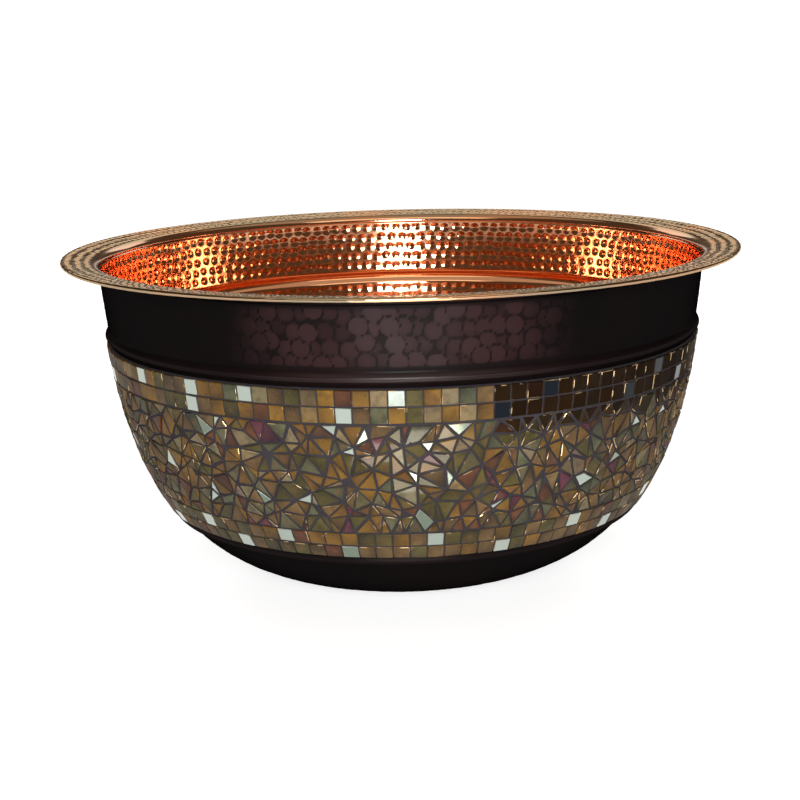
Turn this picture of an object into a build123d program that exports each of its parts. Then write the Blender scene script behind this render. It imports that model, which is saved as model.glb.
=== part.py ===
"""Hammered copper basin with a folded rim and a band of glass mosaic set around its outside.

Millimetres, +Z up, the foot's flat underside on Z = 0 and the Z axis through the middle.
The basin is one sheet turned about Z. A thin bed of grout lies on it between two swaged beads,
and every glass tile is a solid of its own that sits on the bed.
"""
import os
import random
from math import cos, floor, pi, radians, sin

from build123d import *
from scipy.spatial import Delaunay

os.makedirs("parts", exist_ok=True)

# The basin, measured on the outside of its sheet
HEIGHT = 216.0
WALL_TOP_RADIUS = 201.0
FLANGE_WIDTH = 24.0
FOOT_RADIUS = 60.0
SHEET = 1.0
WALL_LEAN = 5.1
FOOT_FULLNESS = 0.815
WALL_FULLNESS = 0.5

# Flange and its hem, which is folded under
FLANGE_SLOPE = 6.0
NECK_RADIUS = 4.0
HEM_HOLLOW = 0.35
HEM = 4.0

# Swaged beads, placed by distances along the wall
UPPER_BEAD_DROP = 44.0
BEAD_SPACING = 126.5
BEAD_WIDTH = 10.0
BEAD_RISE = 2.6

# Mosaic band
FIT = 0.03
BED = 0.8
BED_MARGIN = 0.4
TILE_MARGIN = 0.7
TILE = 9.4
TILE_THICKNESS = 2.0
JOINT = 0.5
ROW_JOINT = 1.0
FIRST_TILE_TURN = -1.2
SHARD_WIDTH = 10.0
SHARD_HEIGHT = 9.8
SHARD_WANDER = 0.4
SHARD_JOINT_MIN = 0.4
SHARD_JOINT_MAX = 0.9
SHARD_TRIM = 0.2
SHARD_PAIRED = 0.06
SHARD_SMALLEST = 11.0
SHARPEST_CORNER = 12.0
SEED = 7
GLASS_TURN = 2.0
GLASS_DOWN = 3.0

# How often each glass turns up, and how far round from the front each row's silver tiles sit
UPPER_MIX = {"amber": 42, "tan": 26, "olive": 16, "sage": 10, "rust": 6}
LOWER_MIX = {"olive": 34, "tan": 32, "amber": 22, "rust": 12}
SHARD_MIX = {"amber": 27, "olive": 25, "tan": 16, "sage": 14, "rust": 9, "violet": 4, "mirror": 3}
SILVER_TURNS = (
    (-55, -40, -28, -1, 25, 52, 75, 104, 131, 158, 190, 222, 251, 274),
    (-40, -10, 17, 43, 60, 90, 118, 147, 173, 204, 236, 262, 289),
    (-47, -25, 6, 36, 64, 92, 117, 146, 175, 203, 228, 259, 286),
    (-36, -11, 20, 49, 78, 103, 131, 160, 189, 217, 246, 272, 300),
)

# The outside of the wall is one cubic curve: level where it leaves the foot, leaning at the top
flange_way = Vector(cos(radians(FLANGE_SLOPE)), sin(radians(FLANGE_SLOPE)))
wall_way = Vector(sin(radians(WALL_LEAN)), cos(radians(WALL_LEAN)))
hem_outside = HEM_HOLLOW + SHEET
flange_end = Vector(
    WALL_TOP_RADIUS + FLANGE_WIDTH - hem_outside - HEM_HOLLOW * flange_way.Y,
    HEIGHT - hem_outside + HEM_HOLLOW * flange_way.X,
)
neck_across = NECK_RADIUS * (wall_way.Y - flange_way.Y)
neck_up = NECK_RADIUS * (flange_way.X - wall_way.X)
flange_up = (flange_end.X - WALL_TOP_RADIUS - neck_across) * flange_way.Y / flange_way.X
wall_top = Vector(WALL_TOP_RADIUS, flange_end.Y - flange_up - neck_up)

with BuildLine():
    wall = Bezier(
        (FOOT_RADIUS, 0),
        (FOOT_RADIUS + (WALL_TOP_RADIUS - FOOT_RADIUS) * FOOT_FULLNESS, 0),
        wall_top - wall_way * (wall_top.Y * WALL_FULLNESS),
        wall_top,
    )
wall_run = wall.length
upper_bead = wall_run - UPPER_BEAD_DROP
lower_bead = upper_bead - BEAD_SPACING


def way_up(run):
    """Direction of the wall's section, `run` up it from the edge of the foot."""
    return wall.tangent_at(run / wall_run)


def on_wall(run, lift):
    """Point of the section as (radius, height), `run` up the wall and `lift` off its outside."""
    way = way_up(run)
    return wall.position_at(run / wall_run) + Vector(way.Y, -way.X) * lift


def in_space(run, turn, lift):
    """The same point turned about Z, with `turn` in degrees from the front to the right."""
    flat = on_wall(run, lift)
    return Vector(flat.X * sin(radians(turn)), -flat.X * cos(radians(turn)), flat.Y)


def seat(run, turn, lift):
    """Plane that touches the lifted wall at one point, its X axis level and its Z axis outward."""
    way = way_up(run)
    level = Vector(cos(radians(turn)), sin(radians(turn)), 0)
    outward = Vector(way.Y * sin(radians(turn)), -way.Y * cos(radians(turn)), -way.X)
    return Plane(origin=in_space(run, turn, lift), x_dir=level, z_dir=outward)


def plain(low, high, lift):
    """Smooth stretch of the section from one run to another, drawn `lift` off the outside."""
    runs = [low + (high - low) * step / 6 for step in range(7)]
    return Spline(*[on_wall(run, lift) for run in runs], tangents=(way_up(low), way_up(high)))


def bead(run, lift):
    """Swage that stands BEAD_RISE off the wall and runs smoothly into it."""
    low = run - BEAD_WIDTH / 2
    high = run + BEAD_WIDTH / 2
    points = (on_wall(low, lift), on_wall(run, lift + BEAD_RISE), on_wall(high, lift))
    return Spline(*points, tangents=(way_up(low), way_up(high)))


def side(lift):
    """One side of the sheet, from the axis to the hem; `lift` is 0 outside and -SHEET inside."""
    Line((0, -lift), (FOOT_RADIUS, -lift))
    plain(0, lower_bead - BEAD_WIDTH / 2, lift)
    bead(lower_bead, lift)
    plain(lower_bead + BEAD_WIDTH / 2, upper_bead - BEAD_WIDTH / 2, lift)
    bead(upper_bead, lift)
    plain(upper_bead + BEAD_WIDTH / 2, wall_run, lift)
    neck = JernArc(on_wall(wall_run, lift), wall_way, NECK_RADIUS - lift, WALL_LEAN + FLANGE_SLOPE - 90)
    flange = Line(neck @ 1, flange_end + Vector(flange_way.Y, -flange_way.X) * lift)
    fold = JernArc(flange @ 1, flange_way, HEM_HOLLOW - lift, -180)
    return Line(fold @ 1, fold @ 1 - flange_way * HEM)


# The sheet, drawn as its two sides and turned about the axis
with BuildPart() as copper_bowl:
    with BuildSketch(Plane.XZ):
        with BuildLine():
            outside = side(0)
            inside = side(-SHEET)
            Line(outside @ 1, inside @ 1)
            Line((0, 0), (0, SHEET))
        make_face()
    revolve(axis=Axis.Z)
copper_bowl.part.label = "copper_bowl"
export_step(copper_bowl.part, "parts/copper_bowl.step")

# The bed of grout between the beads
band_low = lower_bead + BEAD_WIDTH / 2 + BED_MARGIN
band_high = upper_bead - BEAD_WIDTH / 2 - BED_MARGIN

with BuildPart() as mosaic_bed:
    with BuildSketch(Plane.XZ):
        with BuildLine():
            back = plain(band_low, band_high, FIT)
            face = plain(band_low, band_high, FIT + BED)
            Line(back @ 0, face @ 0)
            Line(back @ 1, face @ 1)
        make_face()
    revolve(axis=Axis.Z)
mosaic_bed.part.label = "mosaic_bed"
export_step(mosaic_bed.part, "parts/mosaic_bed.step")

# Square tiles: two rows under the upper bead and two rows over the lower one
chance = random.Random(SEED)
tile_lift = FIT + BED + FIT
row_pitch = TILE + ROW_JOINT
row_runs = (
    band_high - TILE_MARGIN - TILE / 2,
    band_high - TILE_MARGIN - TILE / 2 - row_pitch,
    band_low + TILE_MARGIN + TILE / 2 + row_pitch,
    band_low + TILE_MARGIN + TILE / 2,
)


def pick(mix, run, turn):
    """Name of one glass, drawn by weight for a place, which keeps its glass when the sizes change."""
    down = round((wall_run - run) / GLASS_DOWN)
    around = floor(turn % 360 / GLASS_TURN)
    return random.Random(f"{SEED} {down} {around}").choices(list(mix), list(mix.values()))[0]


squares = {}
for row, run in enumerate(row_runs):
    place, mix = ("upper", UPPER_MIX) if row < 2 else ("lower", LOWER_MIX)
    count = floor(2 * pi * on_wall(run - TILE / 2, tile_lift).X / (TILE + JOINT))
    silver = {round((turn - FIRST_TILE_TURN) / 360 * count) % count for turn in SILVER_TURNS[row]}
    for column in range(count):
        turn = FIRST_TILE_TURN + 360 * column / count
        glass = "mirror" if column in silver else pick(mix, run, turn)
        squares.setdefault(f"squares_{place}_{glass}", []).append(seat(run, turn, tile_lift))

for name, seats in squares.items():
    with BuildPart() as tiles:
        with BuildSketch(*seats):
            Rectangle(TILE, TILE)
        extrude(amount=TILE_THICKNESS, clean=False)
    tiles.part.label = name
    export_step(tiles.part, f"parts/{name}.step")

# Broken tiles between them: corners strewn around the band, joined into triangles, some in pairs
field_low = row_runs[2] + TILE / 2 + ROW_JOINT - SHARD_JOINT_MIN / 2
field_high = row_runs[1] - TILE / 2 - ROW_JOINT + SHARD_JOINT_MIN / 2
field_radius = on_wall((field_low + field_high) / 2, tile_lift).X
strips = max(1, round((field_high - field_low) / SHARD_HEIGHT))
columns = max(8, round(2 * pi * field_radius / SHARD_WIDTH))
strip_height = (field_high - field_low) / strips
column_turn = 360 / columns


def stray():
    """How far one corner strays from its even place, as a share of the spacing."""
    return chance.uniform(-SHARD_WANDER, SHARD_WANDER)


corners = []
for level in range(strips + 1):
    reach = strip_height if 0 < level < strips else 0
    for column in range(columns):
        turn = (column + level % 2 / 2 + stray()) * column_turn
        corners.append((field_low + strip_height * level + stray() * reach, turn))

# The band is cut open for the net, so corners near the cut are repeated a full turn on
overlap = 4 * column_turn
corners += [(run, turn + 360) for run, turn in corners if turn < overlap]
corners += [(run, turn - 360) for run, turn in corners if 360 - overlap < turn < 360]
net = Delaunay([(radians(turn) * field_radius, run) for run, turn in corners])


def inset(points, gap):
    """Outline of a convex shape drawn in by `gap`, or nothing where it can't be cut."""
    count = len(points)
    ways = [(points[(i + 1) % count] - points[i]).normalized() for i in range(count)]
    if any(ways[i - 1].cross(ways[i]).Z < sin(radians(SHARPEST_CORNER)) for i in range(count)):
        return []
    inward = [Vector(-way.Y, way.X) for way in ways]
    drawn = [
        points[i] + (inward[i - 1] + inward[i]) * (gap / (1 + inward[i - 1].dot(inward[i])))
        for i in range(count)
    ]
    if any((drawn[(i + 1) % count] - drawn[i]).dot(ways[i]) < gap for i in range(count)):
        return []
    area = sum(drawn[i - 1].cross(drawn[i]).Z for i in range(count)) / 2
    return drawn if area > SHARD_SMALLEST else []


def shard(indices, gap):
    """Run and turn of one broken tile's middle, its seat there, and its outline on that seat."""
    chosen = [corners[index] for index in indices]
    run = sum(one[0] for one in chosen) / len(chosen)
    turn = sum(one[1] for one in chosen) / len(chosen)
    place = seat(run, turn, tile_lift)
    flat = [place.to_local_coords(in_space(one[0], one[1], tile_lift)) for one in chosen]
    outline = inset([Vector(point.X, point.Y) for point in flat], gap)
    if outline:
        middle = sum(outline, Vector()) / len(outline)
        outline = [point + (middle - point) * chance.uniform(0, SHARD_TRIM) for point in outline]
    return run, turn, place, outline


def first_turn(triangle):
    """Whether a triangle of the net lies in the first full turn, so that none is cut twice."""
    return 0 <= sum(corners[index][1] for index in net.simplices[triangle]) / 3 < 360


shards = {}
used = set()
for triangle, indices in enumerate(net.simplices):
    if triangle in used or not first_turn(triangle):
        continue
    gap = chance.uniform(SHARD_JOINT_MIN, SHARD_JOINT_MAX) / 2
    cut = shard(indices, gap)
    if chance.random() < SHARD_PAIRED:
        for lone in range(3):
            other = int(net.neighbors[triangle][lone])
            if other <= triangle or other in used or not first_turn(other):
                continue
            far = next(int(index) for index in net.simplices[other] if index not in indices)
            after = (lone + 1) % 3
            before = (lone + 2) % 3
            pair = shard((indices[lone], indices[after], far, indices[before]), gap)
            if pair[-1]:
                cut = pair
                used.add(other)
                break
    run, turn, place, outline = cut
    if outline:
        shards.setdefault(f"shards_{pick(SHARD_MIX, run, turn)}", []).append((place, outline))

for name, pieces in shards.items():
    with BuildPart() as tiles:
        for place, outline in pieces:
            with BuildSketch(place):
                Polygon(*outline, align=None)
        extrude(amount=TILE_THICKNESS, clean=False)
    tiles.part.label = name
    export_step(tiles.part, f"parts/{name}.step")
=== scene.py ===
"""Looks of a hammered copper basin with a band of glass mosaic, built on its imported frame.

The basin's sheet is turned from one section and beaten with rows of dents. The mosaic's tiles are
the frame's own tiles, set a little unevenly, with worn edges, in a bed of dark grout.
"""
import math

import bmesh
import bpy
import numpy as np
from mathutils import Matrix, Vector


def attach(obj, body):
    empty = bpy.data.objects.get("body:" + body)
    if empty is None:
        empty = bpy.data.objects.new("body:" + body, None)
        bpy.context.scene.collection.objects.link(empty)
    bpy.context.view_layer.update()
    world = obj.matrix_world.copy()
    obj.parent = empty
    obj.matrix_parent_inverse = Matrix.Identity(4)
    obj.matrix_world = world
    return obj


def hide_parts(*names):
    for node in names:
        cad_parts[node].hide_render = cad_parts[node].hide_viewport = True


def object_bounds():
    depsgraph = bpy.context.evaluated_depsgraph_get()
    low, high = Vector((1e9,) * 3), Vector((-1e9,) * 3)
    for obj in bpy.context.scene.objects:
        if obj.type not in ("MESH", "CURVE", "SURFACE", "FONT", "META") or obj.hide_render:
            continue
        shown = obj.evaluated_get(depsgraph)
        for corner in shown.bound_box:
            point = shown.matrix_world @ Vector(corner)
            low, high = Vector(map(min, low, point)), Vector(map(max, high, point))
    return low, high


bl_info = {
    "name": "Hammered copper basin with mosaic",
    "version": (1, 0, 0),
    "blender": (4, 5, 0),
    "location": "3D View > Sidebar > Basin",
    "description": "Makes the beaten copper sheet, the grout, the glass tiles and a pale stage",
    "category": "Object",
}

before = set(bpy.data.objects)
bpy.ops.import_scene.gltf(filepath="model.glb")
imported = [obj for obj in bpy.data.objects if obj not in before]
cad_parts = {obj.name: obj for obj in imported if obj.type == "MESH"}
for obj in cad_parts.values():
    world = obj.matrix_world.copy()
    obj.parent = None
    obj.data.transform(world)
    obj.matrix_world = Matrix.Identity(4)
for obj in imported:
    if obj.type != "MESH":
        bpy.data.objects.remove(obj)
CAD_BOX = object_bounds()
RIM_RADIUS = CAD_BOX[1][0]
RIM_HEIGHT = CAD_BOX[1][2]
MM = 0.001
UPPER_COLUMNS = 1200
# Points of a tile closer than this are one point, and its faces within this angle are one face
WELD = 0.000002
FLAT_WITHIN = math.radians(2.0)
# Edges of a tile sharper than this are worn
SHARP_OVER = math.radians(35.0)
# How far the hem and the grout's face wave, and how far the grout's back stands off the sheet
HEM_WAVE = 0.00010
GROUT_WAVE = 0.00012
GROUT_BACK = 0.00003
# Where a highlight is painted on the collar's discs and beads: up to this squared distance from the
# middle line, and growing between these heights
SHEEN_ACROSS = 0.011
SHEEN_HEIGHT = (0.145, 0.190)
# How far the beads are rubbed bright where a wall meets them
BEAD_RUBBED = 0.8
# Lengths that a tile's colour is measured by: to its corners, and across its painted shade from deep to
# light
TILE_REACH = 0.006
SLANT_REACH = 0.010
# The tiles with painted shade, for a dark reflection: where round the basin they begin and thin out,
# in degrees from the front, and how far below the upper bead the last and the first wholly shaded lie
DARK_FROM = (14.5, 16.5)
DARK_TO = (58.0, 80.0)
DARK_DEPTH = (0.046, 0.028)
# The floor: how far it is flat, how fast it rises beyond, where its grey grows white, and where its
# reflections go dim
FLOOR_FLAT = 2.0
FLOOR_RISE = 0.12
FLOOR_WHITE = (0.4, 1.3)
FLOOR_DIM = (15.0, 17.0)

GLASS_NODES = {
    "amber": ("shards_amber", "squares_upper_amber", "squares_lower_amber"),
    "tan": ("shards_tan", "squares_upper_tan", "squares_lower_tan"),
    "olive": ("shards_olive", "squares_upper_olive", "squares_lower_olive"),
    "sage": ("shards_sage", "squares_upper_sage"),
    "rust": ("shards_rust", "squares_upper_rust", "squares_lower_rust"),
    "violet": ("shards_violet",),
}
SILVER_NODES = ("shards_mirror", "squares_upper_mirror", "squares_lower_mirror")


def size(name, description, default):
    """A length in metres that a user may change."""
    return bpy.props.FloatProperty(
        name=name, description=description, default=default, unit="LENGTH", precision=5
    )


def colour(name, description, default):
    """A linear colour that a user may change."""
    return bpy.props.FloatVectorProperty(
        name=name, description=description, default=default, size=3, min=0.0, max=1.0, subtype="COLOR"
    )


def turn(name, description, default):
    """An angle, written here in degrees, that a user may change."""
    return bpy.props.FloatProperty(
        name=name, description=description, default=math.radians(default), subtype="ANGLE"
    )


class BasinSizes(bpy.types.PropertyGroup):
    """The basin's section and its dents. Lengths are measured on the outside of the sheet."""

    wall_top_radius: size("Wall top radius", "Radius of the wall where it turns into the flange", 0.201)
    foot_radius: size("Foot radius", "Radius of the flat foot", 0.060)
    sheet: size("Sheet", "Thickness of the copper", 0.001)
    wall_lean: turn("Wall lean", "Lean of the wall at its top", 5.1)
    foot_fullness: bpy.props.FloatProperty(
        name="Foot fullness", description="How far out the level pull of the curve reaches", default=0.815
    )
    wall_fullness: bpy.props.FloatProperty(
        name="Wall fullness", description="How far down the upright pull of the curve reaches", default=0.5
    )
    flange_slope: turn("Flange slope", "Rise of the flange towards its edge", 6.0)
    neck_radius: size("Neck radius", "Bend between the wall and the flange", 0.004)
    hem_hollow: size("Hem hollow", "Half the gap inside the folded edge", 0.00035)
    hem: size("Hem", "How far the folded edge runs back", 0.004)
    upper_bead_drop: size("Upper bead drop", "From the top of the wall down to the upper bead", 0.044)
    bead_spacing: size("Bead spacing", "From the upper bead down to the lower bead", 0.1265)
    bead_width: size("Bead width", "Width of a swaged bead", 0.010)
    bead_rise: size("Bead rise", "Height of a swaged bead", 0.0026)
    inside_dent: size("Inside dent", "Width of a dent inside", 0.0077)
    inside_depth: size("Inside depth", "Depth of a dent inside", 0.00052)
    flange_dent: size("Flange dent", "Width of a dent on the flange", 0.0060)
    flange_depth: size("Flange depth", "Depth of a dent on the flange", 0.00070)
    outside_dent: size("Outside dent", "Width of a dent outside", 0.0086)
    outside_depth: size("Outside depth", "Depth of a dent outside", 0.00018)


class MosaicSizes(bpy.types.PropertyGroup):
    """How the tiles and the grout lie on the sheet."""

    grout_face: size("Grout face", "Height of the grout over the sheet", 0.00245)
    grout_margin: size("Grout margin", "Grout between the bead and the tiles", 0.0004)
    worn_edge: size("Worn edge", "Width of the ground edge of a tile", 0.00032)
    shard_tilt: turn("Shard tilt", "Most that a broken tile tilts", 4.5)
    square_tilt: turn("Square tilt", "Most that a square tile tilts", 1.6)
    unevenness: size("Unevenness", "Most that a tile stands proud or sinks", 0.00015)


class FinishColours(bpy.types.PropertyGroup):
    """The colours of the metal, the grout and the glass, linear."""

    copper: colour("Copper", "Bright copper inside", (0.95, 0.48, 0.28))
    copper_deep: colour("Deep copper", "Copper that has begun to tarnish", (0.86, 0.37, 0.18))
    bronze_edge_on: colour("Bronze edge on", "The browned flange seen edge on", (0.84, 0.74, 0.60))
    bronze: colour("Bronze", "The flange's browned copper", (0.38, 0.30, 0.20))
    patina: colour("Patina", "Dark brown outside", (0.0060, 0.0046, 0.0048))
    # Also the colour of the painted highlight on the collar's discs and beads at the front and the back
    patina_worn_and_sheen: colour("Worn patina", "Outside where the brown has rubbed thin", (0.036, 0.014, 0.015))
    grout: colour("Grout", "Dark violet grey grout", (0.050, 0.044, 0.050))
    silver: colour("Silver", "Silvered glass", (0.46, 0.52, 0.46))
    clouded_silver: colour("Clouded silver", "Silvered glass that has gone grey green", (0.20, 0.25, 0.19))
    # Painted shade: the silvered tiles in the run at the right of the front, darkened for a dark reflection
    painted_shade_silver: colour("Dark silver", "Silvered tiles that have gone dark", (0.008, 0.012, 0.018))
    amber: colour("Amber", "Amber glass", (0.275, 0.137, 0.012))
    tan: colour("Tan", "Tan glass", (0.20, 0.115, 0.035))
    olive: colour("Olive", "Olive glass", (0.115, 0.090, 0.015))
    sage: colour("Sage", "Grey green glass", (0.130, 0.135, 0.065))
    rust: colour("Rust", "Rust glass", (0.15, 0.048, 0.014))
    violet: colour("Violet", "Violet glass", (0.15, 0.032, 0.055))
    # Painted shade: the run of tiles at the right of the front, darkened for a dark reflection
    dark_glass: colour("Dark glass", "Tiles that have gone dark brown", (0.016, 0.006, 0.002))
    # Painted glints along the tiles' ground edges
    edge_glint: colour("Chip", "Bright chips along a tile's edge", (0.75, 0.52, 0.27))
    blush: colour("Blush", "Pink gold bloom in the middle of a tile", (0.27, 0.11, 0.04))
    foil: colour("Foil", "Pale foil that shows through some tiles", (0.40, 0.33, 0.19))


class StageSettings(bpy.types.PropertyGroup):
    """The camera's place and aim, and the floor's reach."""

    camera_back: size("Camera back", "Distance in front of the basin's axis", 1.03323)
    camera_up: size("Camera up", "Height over the floor", 0.34695)
    pitch: turn("Pitch", "How far the camera looks down", 13.015)
    roll: turn("Roll", "Turn of the picture", -1.433)
    yaw: turn("Yaw", "Turn to the side", 0.15)
    lens: bpy.props.FloatProperty(
        name="Lens", description="Focal length in mm on a 36 mm sensor", default=69.16
    )
    floor_radius: size("Floor radius", "How far the floor reaches", 22.0)


def basin():
    """The basin's sizes, as the scene holds them."""
    return bpy.context.scene.basin_sizes


def mosaic():
    """The mosaic's sizes."""
    return bpy.context.scene.basin_mosaic


def colours():
    """The colours of the finishes."""
    return bpy.context.scene.basin_colours


class Section:
    """The basin's section: the line of the outside of its sheet, in radius and height.

    The wall is a cubic curve from the foot's edge, level there, to the top, leaning there. The neck
    is an arc and the flange a straight line. run is the length along the line from the foot's edge.
    """

    def __init__(self):
        sizes = basin()
        lean, slope = sizes.wall_lean, sizes.flange_slope
        self.flange_way = np.array((math.cos(slope), math.sin(slope)))
        self.fold = sizes.hem_hollow + sizes.sheet
        self.fold_middle = np.array((RIM_RADIUS - self.fold, RIM_HEIGHT - self.fold))
        under = np.array((-self.flange_way[1], self.flange_way[0]))
        flange_end = self.fold_middle + sizes.hem_hollow * under
        across = sizes.neck_radius * (math.cos(lean) - math.sin(slope))
        rise = sizes.neck_radius * (math.cos(slope) - math.sin(lean))
        flange_across = flange_end[0] - sizes.wall_top_radius - across
        top = np.array((sizes.wall_top_radius, flange_end[1] - flange_across * math.tan(slope) - rise))
        foot = np.array((sizes.foot_radius, 0.0))
        pull_out = foot + np.array(((top[0] - foot[0]) * sizes.foot_fullness, 0.0))
        pull_down = top - np.array((math.sin(lean), math.cos(lean))) * top[1] * sizes.wall_fullness
        step = np.linspace(0.0, 1.0, 3000)[:, None]
        left = 1.0 - step
        near_foot = left**3 * foot + 3 * left**2 * step * pull_out
        wall = near_foot + 3 * left * step**2 * pull_down + step**3 * top
        middle = top + sizes.neck_radius * np.array((math.cos(lean), -math.sin(lean)))
        bend = np.linspace(lean, math.pi / 2 - slope, 60)[1:, None]
        neck = middle - sizes.neck_radius * np.concatenate((np.cos(bend), -np.sin(bend)), axis=1)
        flange = neck[-1] + np.linspace(0.0, 1.0, 200)[1:, None] * (flange_end - neck[-1])
        ground = np.linspace(0.0, foot[0], 200)[:-1, None] * np.array((1.0, 0.0))
        self.line = np.concatenate((ground, wall, neck, flange))
        gaps = np.hypot(*np.diff(self.line, axis=0).T)
        self.runs = np.concatenate(([0.0], np.cumsum(gaps))) - foot[0]
        way = np.gradient(self.line, self.runs, axis=0)
        way /= np.hypot(*way.T)[:, None]
        self.outward = np.stack((way[:, 1], -way[:, 0]), axis=1)
        self.wall_run = self.runs[len(ground) + len(wall) - 1]
        self.neck_run = self.runs[len(ground) + len(wall) + len(neck) - 1]
        self.flange_run = self.runs[-1]
        self.foot_run = -foot[0]
        self.collar_run = self.wall_run - 1.0 * MM
        self.upper_bead = self.wall_run - sizes.upper_bead_drop
        self.lower_bead = self.upper_bead - sizes.bead_spacing

    def point(self, run, lift):
        """Radius and height of a point at a run along the line, lifted outwards from it."""
        out = [np.interp(run, self.runs, self.outward[:, axis]) for axis in (0, 1)]
        scale = lift / np.hypot(*out)
        return [np.interp(run, self.runs, self.line[:, axis]) + out[axis] * scale for axis in (0, 1)]

    def radius(self, run):
        """The plain sheet's radius at a place along the section."""
        return np.interp(run, self.runs, self.line[:, 0])

    def beads(self, run):
        """Rise of the two beads: a raised cosine across each bead's width."""
        sizes = basin()
        rise = np.zeros_like(run)
        for crest in (self.upper_bead, self.lower_bead):
            part = np.clip((run - crest) / (sizes.bead_width / 2), -1.0, 1.0)
            rise += sizes.bead_rise * 0.5 * (1.0 + np.cos(math.pi * part))
        return rise


def smooth(value, low, high):
    """0 below low, 1 above high and an S curve between."""
    part = np.clip((value - low) / (high - low), 0.0, 1.0)
    return part * part * (3.0 - 2.0 * part)


def bowl(far):
    """A round dent, deepest in the middle and level with the sheet at its edge."""
    return np.clip(1.0 - far, 0.0, 1.0) ** 2


def coin(far):
    """A flat blow of the hammer: a shallow disc with a step at its edge."""
    return (0.85 + 0.15 * np.clip(1.0 - far, 0.0, 1.0)) * (1.0 - smooth(far, 0.70, 1.0))


def dents(section, run, turns, low, high, width, shape, reach, wander, seed):
    """How deep a beaten zone lies: 0 on the land between dents, up to 1 in the middle of a deep one.

    Dents stand in rows round the axis, each row turned by about half a dent from the last. Every dent
    is a round shape about a middle that wanders, given by its squared distance over its reach. Where
    dents cross, the hardest blow is the one that shows. The zone fades out at its two ends.
    """
    random = np.random.default_rng(seed)
    rows = max(1, round((high - low) / width))
    pitch = (high - low) / rows
    middles = low + (np.arange(rows) + 0.5) * pitch
    counts = np.maximum(3, np.round(2 * math.pi * section.radius(middles) / (width * 1.04))).astype(int)
    table = (rows, counts.max())
    aside = random.uniform(-wander, wander, table)
    above = random.uniform(-wander, wander, table)
    force = random.uniform(0.6, 1.0, table)
    phase = (np.arange(rows) % 2) * 0.5 + random.uniform(-0.15, 0.15, rows)
    radius = section.radius(run)
    own_row = np.floor((run - low) / pitch).astype(int)
    hardest = np.zeros(np.broadcast(run, turns).shape)
    depth = np.zeros_like(hardest)
    for step in (-1, 0, 1):
        row = np.clip(own_row + step, 0, rows - 1)
        count = counts[row]
        place = turns / (2 * math.pi) * count + phase[row]
        for side in (-1, 0, 1, 2):
            column = np.floor(place) + side
            index = np.mod(column, count).astype(int)
            across = (place - column - aside[row, index]) * 2 * math.pi * radius / count
            along = run - middles[row] - above[row, index] * pitch
            far = (across**2 + along**2) / (pitch * reach) ** 2
            blow = force[row, index] * (far < 1.0)
            depth = np.where(blow > hardest, blow * shape(far), depth)
            hardest = np.maximum(hardest, blow)
    fade = smooth(run, low, low + pitch * 0.3) * (1.0 - smooth(run, high - pitch * 0.3, high))
    return depth * fade


def rounds(rows, columns):
    """Angles of the columns for each row: a grid of one full turn."""
    return np.broadcast_to(np.arange(columns) * (2 * math.pi / columns), (rows, columns))


def turned_mesh(name, radius, height, closed, poles, flat_rows=()):
    """A mesh of rings: row i and column j stand at radius[i, j] and height[i, j] at the column's angle.

    A closed section joins its last row to its first. An open one ends on the axis in two poles,
    each a single point. Faces are quads, or triangles at a pole, and face outwards.
    """
    rows, columns = radius.shape
    angle = rounds(rows, columns)
    from_front = angle - math.pi / 2
    points = np.stack((radius * np.cos(from_front), radius * np.sin(from_front), height), axis=2)
    points = points.reshape(-1, 3)
    row = np.arange(rows if closed else rows - 1)[:, None]
    column = np.arange(columns)[None, :]
    after, beside = (row + 1) % rows, (column + 1) % columns
    here, there = row * columns, after * columns
    quads = np.stack((here + column, here + beside, there + beside, there + column), axis=2).reshape(-1, 4)
    ends = np.zeros((0, 3), int)
    if not closed:
        points = np.concatenate((points, [(0.0, 0.0, poles[0]), (0.0, 0.0, poles[1])]))
        first, last = rows * columns, rows * columns + 1
        column, beside = column[0], beside[0]
        top = (rows - 1) * columns
        ends = np.concatenate((
            np.stack((beside, column, np.full(columns, first)), axis=1),
            np.stack((top + column, top + beside, np.full(columns, last)), axis=1),
        ))
    corners = points[quads]
    volume = np.einsum("ij,ij->i", corners[:, 0], np.cross(corners[:, 1], corners[:, 2])).sum()
    if volume < 0:
        quads, ends = quads[:, ::-1], ends[:, ::-1]
    mesh = bpy.data.meshes.new(name)
    corner_list = np.concatenate((quads.ravel(), ends.ravel()))
    starts = np.concatenate((np.arange(len(quads)) * 4, len(quads) * 4 + np.arange(len(ends)) * 3))
    mesh.vertices.add(len(points))
    mesh.vertices.foreach_set("co", points.ravel())
    mesh.loops.add(len(corner_list))
    mesh.loops.foreach_set("vertex_index", corner_list)
    mesh.polygons.add(len(starts))
    mesh.polygons.foreach_set("loop_start", starts)
    flat = np.isin(np.arange(len(quads)) // columns, flat_rows)
    soft = np.concatenate((~flat, np.ones(len(ends), bool)))
    mesh.update(calc_edges=True)
    mesh.polygons.foreach_set("use_smooth", soft)
    mesh.validate()
    return mesh


def keep(mesh, name, values):
    """Stores one number for each point of a mesh."""
    layer = mesh.attributes.new(name, "FLOAT", "POINT")
    layer.data.foreach_set("value", np.ascontiguousarray(values, np.float32))


def piece(mesh, nodes, finishes):
    """An object at the origin that rides on the frame in place of its nodes, in its finishes."""
    made = bpy.data.objects.new(mesh.name, mesh)
    bpy.context.scene.collection.objects.link(made)
    for finish in finishes:
        mesh.materials.append(finish)
    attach(made, "root")
    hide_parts(*nodes)
    return made


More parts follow.
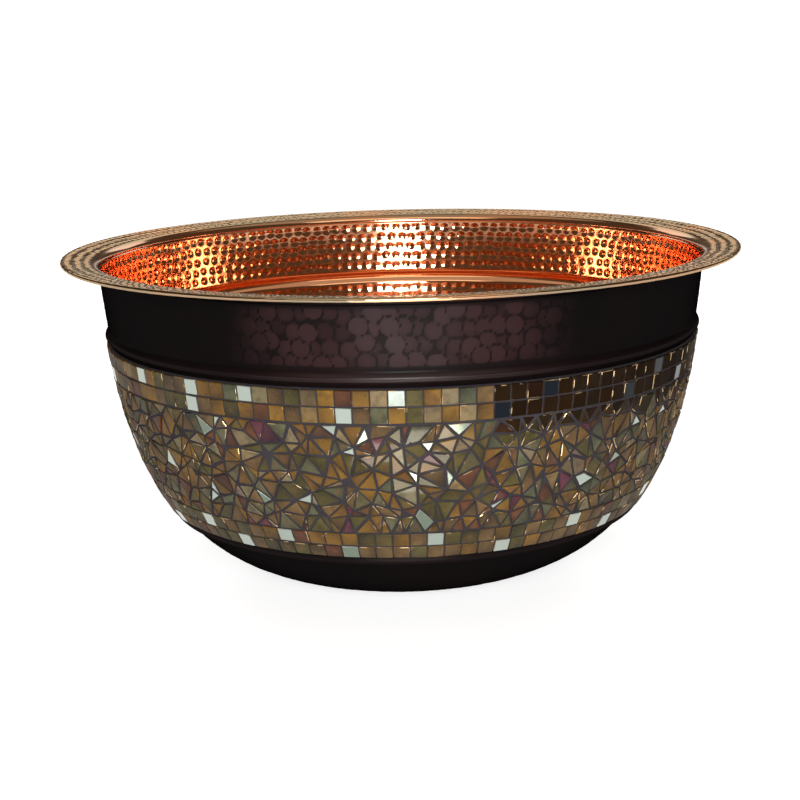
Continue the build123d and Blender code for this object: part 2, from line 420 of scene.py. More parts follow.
class Wire:
    """One socket of a material's nodes, which plain arithmetic joins to others."""

    def __init__(self, finish, socket):
        self.finish = finish
        self.socket = socket

    def sum(self, operation, *values, clamp=False):
        inputs = dict(enumerate(values))
        return self.finish.node("ShaderNodeMath", inputs, operation=operation, use_clamp=clamp)

    def __add__(self, other):
        return self.sum("ADD", self, other)

    def __radd__(self, other):
        return self.sum("ADD", other, self)

    def __sub__(self, other):
        return self.sum("SUBTRACT", self, other)

    def __rsub__(self, other):
        return self.sum("SUBTRACT", other, self)

    def __mul__(self, other):
        return self.sum("MULTIPLY", self, other)

    def __pow__(self, other):
        return self.sum("POWER", self, other)

    def clear(self):
        return self.sum("ADD", self, 0.0, clamp=True)

    def smooth(self, low, high):
        inputs = {"Value": self, "From Min": low, "From Max": high}
        return self.finish.node("ShaderNodeMapRange", inputs, interpolation_type="SMOOTHSTEP")


class Finish:
    """A material of one shader and the nodes that vary it."""

    def __init__(self, name):
        self.material = bpy.data.materials.new(name)
        self.material.use_nodes = True
        self.nodes = self.material.node_tree.nodes
        self.shader = self.nodes["Principled BSDF"]
        self.place = self.node("ShaderNodeTexCoord", {}, output="Object")

    def join(self, value, socket):
        if isinstance(value, Wire):
            self.material.node_tree.links.new(value.socket, socket)
        else:
            socket.default_value = value

    def node(self, kind, inputs, output=0, **settings):
        """Any node: its inputs by name or number, its settings and the output that is wanted."""
        made = self.nodes.new(kind)
        for name, value in settings.items():
            setattr(made, name, value)
        for name, value in inputs.items():
            self.join(value, made.inputs[name])
        return Wire(self, made.outputs[output])

    def noise(self, scale, detail=2.0):
        inputs = {"Vector": self.place, "Scale": scale, "Detail": detail}
        return self.node("ShaderNodeTexNoise", inputs, output="Fac")

    def stored(self, name):
        return self.node("ShaderNodeAttribute", {}, output="Fac", attribute_name=name)

    def mix(self, factor, first, second):
        first, second = [(*c, 1.0) if isinstance(c, tuple) else c for c in (first, second)]
        inputs = {0: factor, 6: first, 7: second}
        return self.node("ShaderNodeMix", inputs, output=2, data_type="RGBA", clamp_factor=True)

    def head_on(self):
        """1 where the surface is seen square on, falling to 0 where it is seen edge on."""
        edge_on = self.node("ShaderNodeLayerWeight", {"Blend": 0.5}, output="Facing")
        return (1.0 - edge_on).smooth(0.0, 0.75)

    def bump(self, height, distance):
        inputs = {"Height": height, "Distance": distance, "Strength": 1.0}
        return self.node("ShaderNodeBump", inputs, output="Normal")

    def set(self, **values):
        for name, value in values.items():
            self.join(value, self.shader.inputs[name.replace("_", " ").title().replace("Ior", "IOR")])


def rgb(value):
    """A colour setting as three plain numbers."""
    return tuple(value)


def painted_collar_sheen(finish):
    """1 where a highlight on the hammer's discs is painted on the collar, at the front and the back, and 0
    at the sides.
    """
    across, height = [finish.node("ShaderNodeSeparateXYZ", {0: finish.place}, output=axis) for axis in "XZ"]
    return (across * across).smooth(SHEEN_ACROSS, 0.0) * height.smooth(*SHEEN_HEIGHT)


def copper_finish(name, edge_on):
    """Copper, deeper in patches, browned towards the flange's edge, with fine beating scratches.

    edge_on is the metal's tint where it is seen edge on.
    """
    tint = colours()
    finish = Finish(name)
    brown = finish.stored("brown")
    hollow = finish.stored("hollow")
    patches = finish.noise(14.0, 4.0).smooth(0.38, 0.70)
    fine = finish.noise(420.0, 3.0)
    metal = finish.mix(patches * 0.6, rgb(tint.copper), rgb(tint.copper_deep))
    metal = finish.mix(brown, metal, finish.mix(patches * 0.5, rgb(tint.bronze), rgb(tint.copper_deep)))
    metal = finish.mix(hollow * 0.25, metal, rgb(tint.copper_deep))
    finish.set(
        base_color=metal,
        metallic=1.0,
        specular_tint=(*edge_on, 1.0),
        roughness=0.07 + patches * 0.04 + brown * 0.04 + fine * 0.03,
        normal=finish.bump(fine, 0.00002),
    )
    return finish.material


def patina_finish():
    """Dark oiled brown over copper, rubbed thin on the beads, with a painted highlight on the discs and
    beads at the front and back.
    """
    tint = colours()
    finish = Finish("dark_patina")
    hollow = finish.stored("hollow")
    rubbed = finish.stored("rubbed")
    clouds = finish.noise(22.0, 5.0).smooth(0.35, 0.75)
    fine = finish.noise(360.0, 4.0)
    disc = hollow.smooth(0.35, 1.0)
    painted_sheen = painted_collar_sheen(finish)
    # Rubbed wear on the beads and faint clouds, plus a painted highlight on the discs and beads at the
    # front, copied to the back
    worn = painted_sheen * (0.15 + disc * 1.5 + clouds * 0.15) + clouds * 0.08 + rubbed * (0.2 + painted_sheen * 0.7)
    oiled = 0.04 + painted_sheen * (0.08 + disc * 0.16) + rubbed * (0.1 + painted_sheen * 0.9)
    finish.set(
        base_color=finish.mix(worn.clear(), rgb(tint.patina), rgb(tint.patina_worn_and_sheen)),
        roughness=0.5,
        specular_ior_level=0.0,
        coat_weight=finish.head_on() * oiled,
        coat_roughness=0.3,
        normal=finish.bump(fine, 0.00005),
    )
    return finish.material


def grout_finish():
    """Sanded grout, dark violet grey, paler where it has dusted."""
    tint = colours()
    finish = Finish("sanded_grout")
    sand = finish.noise(1400.0, 3.0)
    dust = finish.noise(60.0, 4.0).smooth(0.45, 0.8)
    pale = tuple(2.0 * part for part in tint.grout)
    finish.set(
        base_color=finish.mix(dust * 0.5 + sand * 0.2, rgb(tint.grout), pale),
        roughness=0.75 + sand * 0.2,
        specular_ior_level=0.1,
        normal=finish.bump(sand, 0.00025),
    )
    return finish.material


def glass_body(finish, body):
    """The colour of a tile's glass, from deep to light as its tone and its painted shading say, with pale
    tiles here and there.
    """
    deep = tuple(0.20 * part for part in body)
    light = tuple(min(1.0, 1.30 * part + 0.006) for part in body)
    glass = finish.mix(finish.stored("tone") * 0.55 + finish.stored("slant") * 0.45, deep, light)
    foil = finish.stored("other_tone").smooth(0.80, 1.0)
    return finish.mix(foil * 0.6, glass, rgb(colours().foil)), deep, light


def glass_finish(name, body):
    """Foil backed glass: a colour that changes from tile to tile, and a pink gold bloom in the middle."""
    tint = colours()
    finish = Finish(name + "_glass")
    other = finish.stored("other_tone")
    shade = finish.stored("shade")
    aside, above = finish.stored("aside"), finish.stored("above")
    middle = 1.0 - (aside * aside + above * above) ** 0.5
    cloud = finish.noise(190.0, 3.0)
    grain = finish.noise(900.0, 2.0)
    ripple = finish.noise(95.0, 2.0)
    film = (finish.noise(420.0, 3.0) - middle).smooth(0.0, 0.9)
    glass, deep, light = glass_body(finish, body)
    bloom = (middle * 0.7 + cloud * 1.6 - 1.05).smooth(0.0, 0.6) * (1.0 - other).smooth(0.35, 0.9)
    glass = finish.mix(bloom * 0.7, glass, rgb(tint.blush))
    glass = finish.mix(cloud.smooth(0.42, 0.72) * 0.5, glass, deep)
    glass = finish.mix(grain.smooth(0.50, 0.75) * 0.3, glass, light)
    glass = finish.mix(film * 0.25, glass, rgb(tint.grout))
    # Painted shade: a dark reflection painted into the run of tiles at the right of the front
    glass = finish.mix(shade * 0.95, glass, rgb(tint.dark_glass))
    finish.set(
        base_color=glass,
        roughness=0.5,
        specular_ior_level=0.0,
        coat_weight=(0.2 + finish.head_on() * 0.8) * (0.55 - shade * 0.47),
        coat_roughness=0.05,
        normal=finish.bump(ripple, 0.0003),
    )
    return finish.material


def edge_finish(name, body):
    """The ground edge of a tile: its own glass, duller, with painted glints of pale gold here and there."""
    tint = colours()
    finish = Finish(name + "_edge")
    shade = finish.stored("shade")
    # Painted glints: pale gold stretches along the edges, more of them among the painted shade
    glints = (finish.noise(110.0, 1.0) + shade * 0.05).smooth(0.61, 0.67)
    # The edge darkens with its tile's painted shade
    edge = finish.mix(shade * 0.95, glass_body(finish, body)[0], rgb(tint.dark_glass))
    finish.set(
        base_color=finish.mix(glints, edge, rgb(tint.edge_glint)),
        metallic=glints * 0.4,
        roughness=0.4 - glints * 0.2,
        specular_ior_level=0.1,
    )
    return finish.material


def silver_finish():
    """Silvered glass with a faint ripple: bright or clouded from tile to tile, and dark where shade is
    painted.
    """
    tint = colours()
    finish = Finish("silver_mirror")
    shade = finish.stored("shade")
    ripple = finish.noise(120.0, 2.0)
    aged = finish.stored("tone").smooth(0.35, 0.8)
    clouded = finish.mix(aged, rgb(tint.silver), rgb(tint.clouded_silver))
    finish.set(
        base_color=finish.mix(shade, clouded, rgb(tint.painted_shade_silver)),
        metallic=0.85,
        roughness=0.10 + ripple * 0.08,
        normal=finish.bump(ripple, 0.00012),
    )
    return finish.material


def spaced(low, high, gap):
    """Runs from low to high, both included, about one gap apart."""
    return np.linspace(low, high, max(2, round(abs(high - low) / gap) + 1))


def sheet_rows(section, run, inside):
    """Lift of one side of the sheet over the section's line, before beating."""
    lift = section.beads(run)
    return lift - basin().sheet if inside else lift


class BASIN_OT_flange(bpy.types.Operator):
    """Make the flange: its beaten top, its folded edge and the neck that joins it to the wall"""

    bl_idname = "basin.flange"
    bl_label = "Flange"

    def execute(self, context):
        sizes = basin()
        section = Section()
        columns = UPPER_COLUMNS
        angle = rounds(1, columns)
        under_run = np.concatenate((
            spaced(section.collar_run, section.wall_run, 1.0 * MM),
            spaced(section.wall_run, section.neck_run, 0.9 * MM)[1:],
            spaced(section.neck_run, section.flange_run - sizes.hem, 3.0 * MM)[1:],
        ))
        top_run = np.concatenate((
            spaced(section.flange_run, section.neck_run, 0.95 * MM),
            spaced(section.neck_run, section.wall_run, 0.7 * MM)[1:],
            spaced(section.wall_run, section.collar_run, 1.0 * MM)[1:],
        ))
        under_r, under_z = section.point(under_run[:, None], np.zeros((1, columns)))
        inner_end, outer_end = section.neck_run, section.flange_run
        beaten = dents(
            section, top_run[:, None], angle, inner_end, outer_end, sizes.flange_dent, bowl,
            reach=0.5, wander=0.12, seed=8,
        )
        top_r, top_z = section.point(top_run[:, None], beaten * sizes.flange_depth - sizes.sheet)
        way = section.flange_way
        off = np.array((way[1], -way[0]))
        back = spaced(sizes.hem, 0.0, 1.4 * MM)[:, None]
        below = section.fold_middle + off * section.fold - way * back
        folded_in = sizes.hem - np.array((1.0, 0.0))[:, None] * MM
        inner = section.fold_middle + off * sizes.hem_hollow - way * folded_in
        bend = np.linspace(0.0, math.pi, 8)[1:-1, None]
        round_edge = section.fold_middle + section.fold * (np.cos(bend) * off + np.sin(bend) * way)
        hem = np.concatenate((inner, below, round_edge))
        wave = HEM_WAVE * np.abs(np.sin(angle * 61.0 + 2.0 * np.sin(angle * 7.0)))
        hem_r, hem_z = hem[:, :1] - wave, hem[:, 1:] - wave
        radius = np.concatenate((under_r, hem_r, top_r))
        height = np.minimum(np.concatenate((under_z, hem_z, top_z)), RIM_HEIGHT)
        rows = len(radius)
        mesh = turned_mesh("basin_flange", radius, height, True, None, (rows - 1,))
        keep(mesh, "hollow", np.concatenate((under_r * 0, hem_r * 0, beaten)).ravel())
        browned = smooth(top_run, section.collar_run, section.neck_run)
        browned = np.broadcast_to(browned[:, None], top_r.shape)
        keep(mesh, "brown", np.concatenate((under_r * 0 + 1, hem_r * 0 + 1, browned)).ravel())
        keep(mesh, "rubbed", np.concatenate((under_r * 0, hem_r * 0 + 1, top_r * 0)).ravel())
        brown_rows = len(under_r) + len(inner)
        bright_rows = len(under_r) + len(hem) + np.count_nonzero(top_run > section.neck_run - 1.5 * MM)
        row = np.arange(rows * columns) // columns
        finish = np.where(row < brown_rows, 1, np.where(row < bright_rows, 2, 0)).astype(np.int32)
        mesh.polygons.foreach_set("material_index", finish)
        finishes = (
            copper_finish("bright_copper", (1.0, 1.0, 1.0)),
            patina_finish(),
            copper_finish("browned_copper", rgb(colours().bronze_edge_on)),
        )
        piece(mesh, ("copper_bowl",), finishes)
        return {"FINISHED"}


class BASIN_OT_collar(bpy.types.Operator):
    """Make the wall from under the flange down to the upper bead, beaten on both sides"""

    bl_idname = "basin.collar"
    bl_label = "Collar"

    def execute(self, context):
        sizes = basin()
        section = Section()
        columns = UPPER_COLUMNS
        angle = rounds(1, columns)
        low, high = section.upper_bead, section.collar_run
        foot = low + sizes.bead_width / 2
        zone = high - 0.5 * MM
        outside = np.concatenate((spaced(low, foot, 0.9 * MM), spaced(foot, high, 1.35 * MM)[1:]))
        inside = np.concatenate((spaced(high, foot, 0.93 * MM), spaced(foot, low, 0.9 * MM)[1:]))
        struck = dents(
            section, outside[:, None], angle, foot, zone, sizes.outside_dent, coin,
            reach=0.66, wander=0.26, seed=3,
        )
        out_lift = sheet_rows(section, outside, False)[:, None] - struck * sizes.outside_depth
        out_r, out_z = section.point(outside[:, None], out_lift)
        beaten = dents(
            section, inside[:, None], angle, foot, zone, sizes.inside_dent, bowl,
            reach=0.47, wander=0.10, seed=5,
        )
        in_lift = sheet_rows(section, inside, True)[:, None] + beaten * sizes.inside_depth
        in_r, in_z = section.point(inside[:, None], in_lift)
        radius = np.concatenate((out_r, in_r))
        rows = len(radius)
        mesh = turned_mesh(
            "basin_collar", radius, np.concatenate((out_z, in_z)), True, None, (len(out_r) - 1, rows - 1)
        )
        keep(mesh, "hollow", np.concatenate((struck, beaten)).ravel())
        keep(mesh, "brown", (radius * 0).ravel())
        rubbed = np.broadcast_to(1.0 - smooth(outside, low, foot)[:, None], out_r.shape)
        keep(mesh, "rubbed", np.concatenate((rubbed, in_r * 0)).ravel())
        finish = np.where(np.arange(rows * columns) // columns < len(out_r) - 1, 1, 0).astype(np.int32)
        mesh.polygons.foreach_set("material_index", finish)
        piece(mesh, ("copper_bowl",), sheet_finishes())
        return {"FINISHED"}


def sheet_finishes():
    """The two finishes of the sheet, inside and outside, made with the flange."""
    return [bpy.data.materials[name] for name in ("bright_copper", "dark_patina")]


class BASIN_OT_wall(bpy.types.Operator):
    """Make the wall between the two beads, beaten inside and plain under the mosaic"""

    bl_idname = "basin.wall"
    bl_label = "Wall"

    def execute(self, context):
        sizes = basin()
        section = Section()
        columns = 860
        half = sizes.bead_width / 2
        low, high = section.lower_bead, section.upper_bead
        outside = np.concatenate((
            spaced(low, low + half, 0.8 * MM),
            spaced(low + half, high - half, 9.0 * MM)[1:],
            spaced(high - half, high, 0.8 * MM)[1:],
        ))
        inside = np.concatenate((
            spaced(high, high - half, 0.9 * MM),
            spaced(high - half, low + half, 1.5 * MM)[1:],
            spaced(low + half, low, 0.9 * MM)[1:],
        ))
        angle = rounds(1, columns)
        flat = np.zeros((1, columns))
        out_r, out_z = section.point(outside[:, None], sheet_rows(section, outside, False)[:, None] + flat)
        beaten = dents(
            section, inside[:, None], angle, low + half, high - half, sizes.inside_dent, bowl,
            reach=0.47, wander=0.12, seed=11,
        )
        lift = sheet_rows(section, inside, True)[:, None] + beaten * sizes.inside_depth
        in_r, in_z = section.point(inside[:, None], lift)
        radius = np.concatenate((out_r, in_r))
        height = np.concatenate((out_z, in_z))
        rows = len(radius)
        mesh = turned_mesh("basin_wall", radius, height, True, None, (len(out_r) - 1, rows - 1))
        keep(mesh, "hollow", np.concatenate((out_r * 0, beaten)).ravel())
        keep(mesh, "brown", (radius * 0).ravel())
        at_beads = np.maximum(smooth(outside, high - half, high), 1.0 - smooth(outside, low, low + half))
        rubbed = np.broadcast_to(at_beads[:, None] * BEAD_RUBBED, out_r.shape)
        keep(mesh, "rubbed", np.concatenate((rubbed, in_r * 0)).ravel())
        finish = np.where(np.arange(rows * columns) // columns < len(out_r) - 1, 1, 0).astype(np.int32)
        mesh.polygons.foreach_set("material_index", finish)
        piece(mesh, ("copper_bowl",), sheet_finishes())
        return {"FINISHED"}


class BASIN_OT_foot(bpy.types.Operator):
    """Make the bottom of the basin: from the lower bead down to the flat foot"""

    bl_idname = "basin.foot"
    bl_label = "Foot"

    def execute(self, context):
        sizes = basin()
        section = Section()
        columns = 520
        high = section.lower_bead
        half = sizes.bead_width / 2
        edge = section.foot_run + 2.0 * MM
        outside = np.concatenate((
            spaced(edge, 0.0, 6.0 * MM),
            spaced(0.0, high - half, 1.6 * MM)[1:],
            spaced(high - half, high, 0.8 * MM)[1:],
        ))
        inside = np.concatenate((
            spaced(high, high - half, 0.9 * MM),
            spaced(high - half, edge, 1.65 * MM)[1:],
        ))
        angle = rounds(1, columns)
        out_beaten = dents(
            section, outside[:, None], angle, 0.0, high - half, sizes.outside_dent, coin,
            reach=0.66, wander=0.26, seed=17,
        )
        out_lift = sheet_rows(section, outside, False)[:, None] - out_beaten * sizes.outside_depth
        out_r, out_z = section.point(outside[:, None], out_lift)
        beaten = dents(
            section, inside[:, None], angle, edge, high - half, sizes.inside_dent, bowl,
            reach=0.47, wander=0.14, seed=19,
        )
        lift = sheet_rows(section, inside, True)[:, None] + beaten * sizes.inside_depth
        in_r, in_z = section.point(inside[:, None], lift)
        radius = np.concatenate((out_r, in_r))
        height = np.maximum(np.concatenate((out_z, in_z)), 0.0)
        mesh = turned_mesh("basin_foot", radius, height, False, (0.0, sizes.sheet), (len(out_r) - 1,))
        poles = np.zeros(2)
        keep(mesh, "hollow", np.concatenate((np.concatenate((out_beaten, beaten)).ravel(), poles)))
        keep(mesh, "brown", np.zeros(radius.size + 2))
        at_bead = smooth(outside, high - half, high)[:, None]
        rubbed = np.broadcast_to(at_bead * BEAD_RUBBED, out_r.shape)
        keep(mesh, "rubbed", np.concatenate((rubbed.ravel(), (in_r * 0).ravel(), poles)))
        quads = (len(radius) - 1) * columns
        finish = np.where(np.arange(quads) // columns < len(out_r) - 1, 1, 0)
        finish = np.concatenate((finish, np.ones(columns, int), np.zeros(columns, int))).astype(np.int32)
        mesh.polygons.foreach_set("material_index", finish)
        piece(mesh, ("copper_bowl",), sheet_finishes())
        return {"FINISHED"}


class BASIN_OT_grout(bpy.types.Operator):
    """Make the bed of grout that fills the joints between the tiles"""

    bl_idname = "basin.grout"
    bl_label = "Grout"

    def execute(self, context):
        sizes, set_in = basin(), mosaic()
        section = Section()
        columns = 900
        half = sizes.bead_width / 2 + set_in.grout_margin
        low, high = section.lower_bead + half, section.upper_bead - half
        face = spaced(low, high, 1.5 * MM)
        back = spaced(high, low, 12.0 * MM)
        angle = rounds(1, columns)
        rise = smooth(face, low - 0.6 * MM, low + 1.2 * MM)
        rise = rise * (1.0 - smooth(face, high - 1.2 * MM, high + 0.6 * MM))
        wave = np.sin(angle * 97.0 + face[:, None] * 900.0) * np.sin(angle * 41.0 - face[:, None] * 1300.0)
        lift = rise[:, None] * (set_in.grout_face + GROUT_WAVE * wave)
        face_r, face_z = section.point(face[:, None], np.maximum(lift, GROUT_WAVE))
        back_r, back_z = section.point(back[:, None], GROUT_BACK + np.zeros((1, columns)))
        radius = np.concatenate((face_r, back_r))
        height = np.concatenate((face_z, back_z))
        mesh = turned_mesh("mosaic_grout", radius, height, True, None, (len(face) - 1, len(radius) - 1))
        piece(mesh, ("mosaic_bed",), (grout_finish(),))
        return {"FINISHED"}


def tile_islands(count, edges):
    """The tile that each point belongs to: the lowest point number is passed along edges until it rests."""
    label = np.arange(count)
    settled = False
    while not settled:
        lower = label.copy()
        np.minimum.at(lower, edges[:, 0], label[edges[:, 1]])
        np.minimum.at(lower, edges[:, 1], label[edges[:, 0]])
        settled = bool((lower == label).all())
        label = lower
    return np.unique(label, return_inverse=True)[1]


def set_tiles(node, finishes, seed):
    """A copy of one node's tiles, each tilted and lifted a little about its own middle.

    A point moves outwards by its two distances from the tile's middle, along the row and up the wall,
    times the tile's two slopes, plus the tile's own lift. The tones are one number for each tile.
    """
    set_in = mosaic()
    section = Section()
    random = np.random.default_rng(seed)
    shape = bmesh.new()
    shape.from_mesh(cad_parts[node].data)
    bmesh.ops.remove_doubles(shape, verts=shape.verts, dist=WELD)
    bmesh.ops.dissolve_limit(shape, angle_limit=FLAT_WITHIN, verts=shape.verts, edges=shape.edges)
    mesh = bpy.data.meshes.new(node + "_set")
    shape.to_mesh(mesh)
    shape.free()
    count = len(mesh.vertices)
    points = np.empty(count * 3)
    mesh.vertices.foreach_get("co", points)
    points = points.reshape(-1, 3)
    edges = np.empty(len(mesh.edges) * 2, np.int32)
    mesh.edges.foreach_get("vertices", edges)
    tile = tile_islands(count, edges.reshape(-1, 2))
    tiles = tile.max() + 1
    share = np.bincount(tile)
    centre = np.stack([np.bincount(tile, points[:, axis]) / share for axis in range(3)], axis=1)
    across = np.hypot(centre[:, 0], centre[:, 1])
    round_way = centre[:, :2] / across[:, None]
    line = section.line[None, ::8]
    away = np.abs(line[:, :, 0] - across[:, None]) + np.abs(line[:, :, 1] - centre[:, 2:])
    out = section.outward[::8][away.argmin(axis=1)]
    outward = np.concatenate((round_way * out[:, :1], out[:, 1:]), axis=1)
    along = np.stack((-round_way[:, 1], round_way[:, 0], np.zeros(tiles)), axis=1)
    upward = np.cross(outward, along)
    offset = points - centre[tile]
    aside = (offset * along[tile]).sum(axis=1)
    above = (offset * upward[tile]).sum(axis=1)
    most = set_in.shard_tilt if node.startswith("shards") else set_in.square_tilt
    slopes = np.tan(random.uniform(-most, most, (2, tiles)))
    lift = random.uniform(-set_in.unevenness, set_in.unevenness, tiles)
    move = slopes[0, tile] * aside + slopes[1, tile] * above + lift[tile]
    points += outward[tile] * move[:, None]
    mesh.vertices.foreach_set("co", points.ravel())
    keep(mesh, "tone", random.uniform(0.0, 1.0, tiles)[tile])
    keep(mesh, "other_tone", random.uniform(0.0, 1.0, tiles)[tile])
    keep(mesh, "aside", aside / TILE_REACH)
    keep(mesh, "above", above / TILE_REACH)
    # Painted light and shade across each tile toward a random side, for light caught by the tilted tile,
    # with the glass's own grading
    lit_from = random.uniform(0.0, 2 * math.pi, tiles)[tile]
    keep(mesh, "slant", 0.5 + (aside * np.cos(lit_from) + above * np.sin(lit_from)) / SLANT_REACH)
    # Painted shade: tiles in a run at the right of the front, and shards just under them, darkened for a
    # dark reflection
    around = np.degrees(np.arctan2(centre[:, 0], -centre[:, 1]))
    dim = smooth(around, *DARK_FROM) * (1.0 - 0.6 * smooth(around, *DARK_TO))
    foot_of_dark, all_dark = [section.point(section.upper_bead - depth, 0.0)[1] for depth in DARK_DEPTH]
    keep(mesh, "shade", (dim * smooth(centre[:, 2], foot_of_dark, all_dark))[tile])
    mesh.polygons.foreach_set("use_smooth", np.zeros(len(mesh.polygons), bool))
    made = piece(mesh, (node,), finishes)
    worn = made.modifiers.new("worn_edge", "BEVEL")
    worn.width = set_in.worn_edge
    worn.segments = 1
    worn.limit_method = "ANGLE"
    worn.angle_limit = SHARP_OVER
    worn.material = 1


class BASIN_OT_glass(bpy.types.Operator):
    """Set the coloured glass tiles and shards"""

    bl_idname = "basin.glass"
    bl_label = "Glass tiles"

    def execute(self, context):
        for order, (name, nodes) in enumerate(GLASS_NODES.items()):
            body = rgb(getattr(colours(), name))
            finishes = (glass_finish(name, body), edge_finish(name, body))
            for step, node in enumerate(nodes):
                set_tiles(node, finishes, 100 + order * 10 + step)
        return {"FINISHED"}


class BASIN_OT_silver(bpy.types.Operator):
    """Set the silvered tiles and shards"""

    bl_idname = "basin.silver"
    bl_label = "Silver tiles"

    def execute(self, context):
        finishes = (silver_finish(), edge_finish("silver", rgb(colours().silver)))
        for step, node in enumerate(SILVER_NODES):
            set_tiles(node, finishes, 200 + step)
        return {"FINISHED"}


def lamp(name, place, aim, width, height, power, role="both", tint=(1.0, 1.0, 1.0)):
    """A rectangular lamp that faces a point and isn't seen itself.

    As "fill" it lights surfaces and doesn't shine in them, and as "gloss" it only shines in them.
    """
    light = bpy.data.lights.new(name, "AREA")
    light.shape = "RECTANGLE"
    light.size, light.size_y = width, height
    light.energy = power
    light.color = tint
    made = bpy.data.objects.new(name, light)
    made.location = place
    made.rotation_euler = (Vector(aim) - Vector(place)).to_track_quat("-Z", "Y").to_euler()
    made.visible_camera = False
    made.visible_glossy = role != "fill"
    made.visible_diffuse = role != "gloss"
    bpy.context.scene.collection.objects.link(made)


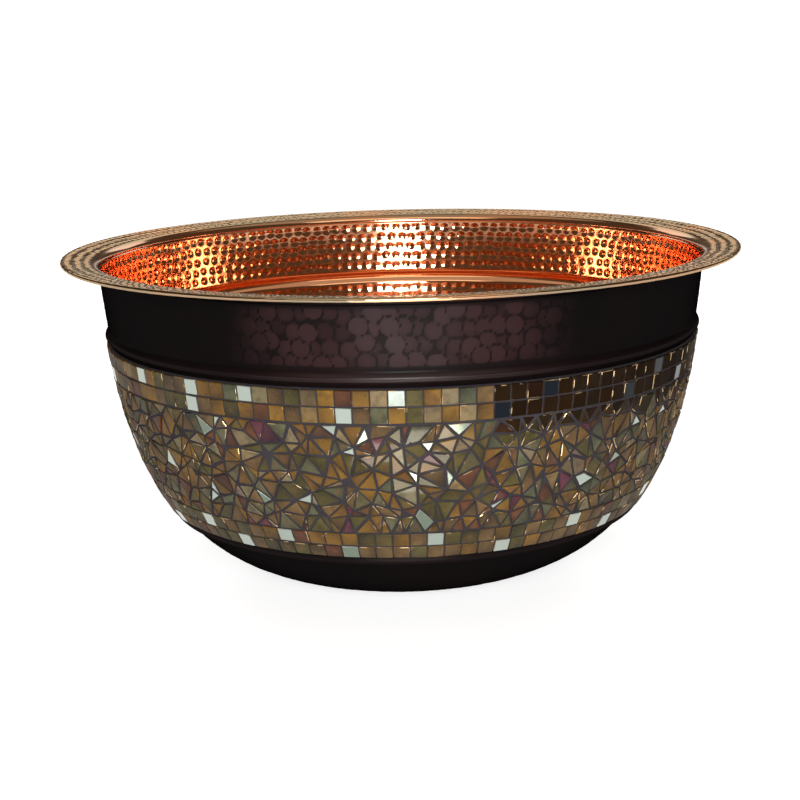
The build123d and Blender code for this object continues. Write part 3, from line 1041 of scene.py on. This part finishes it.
class BASIN_OT_stage(bpy.types.Operator):
    """Make the pale floor, the lamps and the camera"""

    bl_idname = "basin.stage"
    bl_label = "Stage"

    def execute(self, context):
        view = context.scene.basin_stage
        reach = np.concatenate(([0.02], np.geomspace(0.5, view.floor_radius, 40)))
        past_flat = np.maximum(reach - FLOOR_FLAT, 0.0)
        rise = past_flat**2 / (view.floor_radius - FLOOR_FLAT) * FLOOR_RISE
        columns = 96
        angle = rounds(len(reach), columns)
        points = np.stack((reach[:, None] * np.cos(angle), reach[:, None] * np.sin(angle),
                           np.broadcast_to(rise[:, None], angle.shape)), axis=2).reshape(-1, 3)
        row, column = np.arange(len(reach) - 1)[:, None], np.arange(columns)[None, :]
        beside = (column + 1) % columns
        quads = np.stack((row * columns + column, (row + 1) * columns + column,
                          (row + 1) * columns + beside, row * columns + beside), axis=2).reshape(-1, 4)
        mesh = bpy.data.meshes.new("pale_floor")
        mesh.from_pydata(points.tolist(), [], quads.tolist() + [list(range(columns))])
        floor = bpy.data.objects.new("pale_floor", mesh)
        context.scene.collection.objects.link(floor)
        finish = Finish("pale_floor")
        seen, glossy, through = [
            finish.node("ShaderNodeLightPath", {}, output=f"Is {ray} Ray")
            for ray in ("Camera", "Glossy", "Transmission")
        ]
        shown = (seen + glossy + through).clear()
        grain = finish.noise(3.0)
        away = finish.node("ShaderNodeVectorMath", {0: finish.place}, output="Value", operation="LENGTH")
        glow = finish.mix(away.smooth(*FLOOR_WHITE), (0.78, 0.78, 0.78), (1.0, 1.0, 1.0))
        glow = finish.mix(away.smooth(*FLOOR_DIM) * glossy, glow, (0.10, 0.08, 0.07))
        finish.set(
            base_color=finish.mix(grain, (0.78, 0.78, 0.78), (0.82, 0.82, 0.82)),
            roughness=0.9,
            specular_ior_level=0.0,
            emission_color=finish.mix(shown, (0.0, 0.0, 0.0), glow),
            emission_strength=1.0,
        )
        mesh.materials.append(finish.material)

        world = bpy.data.worlds.new("dim_room")
        world.use_nodes = True
        world.node_tree.nodes["Background"].inputs["Color"].default_value = (0.085, 0.062, 0.042, 1.0)
        context.scene.world = world
        warm = (1.0, 0.93, 0.78)
        lamp("key", (0.0, -1.50, 0.54), (0.0, 0.0, 0.16), 0.50, 0.44, 12.0)
        lamp("overhead", (0.0, -0.1, 2.3), (0.0, 0.0, 0.1), 3.0, 3.2, 12.0, "gloss", warm)
        for name, aside in (("fill_left", -0.9), ("fill_right", 0.9)):
            lamp(name, (aside, 1.6, 0.6), (0.0, 0.0, 0.12), 0.8, 0.6, 10.5, "fill")
        lamp("low_front", (0.01, -0.52, 0.03), (0.0, -0.20, 0.13), 0.28, 0.10, 0.35)
        lamp("table_card", (0.0, -0.29, 0.004), (0.0, -0.19, 0.125), 0.14, 0.07, 0.28, "gloss", warm)
        lamp("canopy", (0.0, -1.3, 1.75), (0.0, 0.1, 0.2), 2.6, 0.9, 8.0, "gloss", warm)
        lamp("behind", (0.0, 2.3, 1.35), (0.0, 0.0, 0.25), 3.6, 0.8, 11.5, "gloss")

        level = Vector((-math.sin(view.yaw), math.cos(view.yaw), 0.0))
        right = Vector((math.cos(view.yaw), math.sin(view.yaw), 0.0))
        ahead = level * math.cos(view.pitch) - Vector((0.0, 0.0, math.sin(view.pitch)))
        above = level * math.sin(view.pitch) + Vector((0.0, 0.0, math.cos(view.pitch)))
        picture_right = right * math.cos(view.roll) + above * math.sin(view.roll)
        picture_up = above * math.cos(view.roll) - right * math.sin(view.roll)
        data = bpy.data.cameras.new("camera")
        data.sensor_width = 36.0
        data.lens = view.lens
        data.clip_end = 100.0
        camera = bpy.data.objects.new("camera", data)
        camera.location = (0.0, -view.camera_back, view.camera_up)
        camera.rotation_euler = Matrix((picture_right, picture_up, -ahead)).transposed().to_euler()
        context.scene.collection.objects.link(camera)
        context.scene.camera = camera
        context.scene.view_settings.view_transform = "Standard"
        return {"FINISHED"}


STEPS = (
    BASIN_OT_flange,
    BASIN_OT_collar,
    BASIN_OT_wall,
    BASIN_OT_foot,
    BASIN_OT_grout,
    BASIN_OT_glass,
    BASIN_OT_silver,
    BASIN_OT_stage,
)
GROUPS = {
    "basin_sizes": BasinSizes,
    "basin_mosaic": MosaicSizes,
    "basin_colours": FinishColours,
    "basin_stage": StageSettings,
}


class BASIN_PT_panel(bpy.types.Panel):
    """The basin's sizes and colours, and the steps that make it"""

    bl_idname = "BASIN_PT_panel"
    bl_label = "Mosaic basin"
    bl_space_type = "VIEW_3D"
    bl_region_type = "UI"
    bl_category = "Basin"

    def draw(self, context):
        for name, group in GROUPS.items():
            box = self.layout.box()
            for prop in group.__annotations__:
                box.prop(getattr(context.scene, name), prop)
        for step in STEPS:
            self.layout.operator(step.bl_idname)


def register():
    for made in (*GROUPS.values(), *STEPS, BASIN_PT_panel):
        bpy.utils.register_class(made)
    for name, group in GROUPS.items():
        setattr(bpy.types.Scene, name, bpy.props.PointerProperty(type=group))


def unregister():
    for name in GROUPS:
        delattr(bpy.types.Scene, name)
    for made in (BASIN_PT_panel, *reversed(STEPS), *GROUPS.values()):
        bpy.utils.unregister_class(made)


def main():
    register()
    bpy.ops.basin.flange()
    bpy.ops.basin.collar()
    bpy.ops.basin.wall()
    bpy.ops.basin.foot()
    bpy.ops.basin.grout()
    bpy.ops.basin.glass()
    bpy.ops.basin.silver()
    bpy.ops.basin.stage()


if __name__ == "__main__":
    main()
